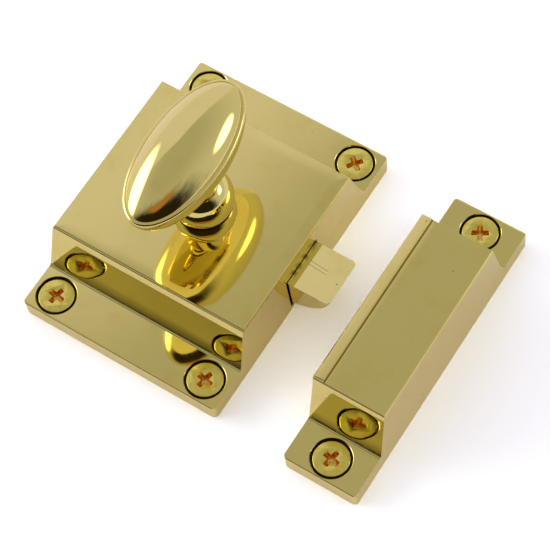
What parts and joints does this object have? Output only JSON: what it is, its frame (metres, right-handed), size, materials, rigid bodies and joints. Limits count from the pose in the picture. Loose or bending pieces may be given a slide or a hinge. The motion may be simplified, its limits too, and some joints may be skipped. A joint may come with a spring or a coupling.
{
  "type": "cabinet latch",
  "caption": "Polished brass cupboard latch: a sprung bolt with a rounded nose, drawn by an oval turn knob, with the open-sided box keep it shoots into.",
  "frame": {"origin": "centre of the latch plate, on the face that meets the door", "axes": "+X the way the bolt shoots, +Y along the plate, +Z away from the door"},
  "size_m": [0.077, 0.0646, 0.0534],
  "materials": {
    "case_brass": "mirror polished",
    "keep_brass": "mirror polished",
    "knob_brass": "mirror polished",
    "bolt_brass": "polished, lightly scratched",
    "washer_brass": "plain",
    "cover_brass": "rolled, unpolished",
    "screw_brass": "turned, slightly dull",
    "steel": "bright zinc",
    "cam_steel": "as cut",
    "spring_steel": "drawn wire"
  },
  "bodies": {
    "root": {"case": "case_brass", "back_cover": "cover_brass", "cover_screw_1": "steel", "cover_screw_2": "steel", "cover_screw_3": "steel", "cover_screw_4": "steel", "knob_washer": "washer_brass", "bolt_spring": "spring_steel", "plate_screw_1": "screw_brass", "plate_screw_2": "screw_brass", "plate_screw_3": "screw_brass", "plate_screw_4": "screw_brass", "keep": "keep_brass", "keep_screw_1": "screw_brass", "keep_screw_2": "screw_brass"},
    "knob_and_cam": {"knob": "knob_brass", "spindle": "steel", "cam": "cam_steel", "cam_washer": "steel", "cam_screw": "steel"},
    "bolt": {"bolt": "bolt_brass"}
  },
  "joints": [
    {"name": "knob_turn", "type": "hinge", "parent": "root", "child": "knob_and_cam", "pos_m": [0.0005, 0, 0.015], "axis": [0, 0, -1], "range_deg": [0, 70], "stiffness_Nm_per_rad": 0.01225, "springref_deg": -49.1},
    {"name": "bolt_slide", "type": "slide", "parent": "root", "child": "bolt", "axis": [-1, 0, 0], "range_m": [0, 0.00856], "deforming": ["bolt_spring"]}
  ],
  "couplings": [
    {"joint": "bolt_slide", "follows": "knob_turn", "m_per_rad": 0.007}
  ]
}
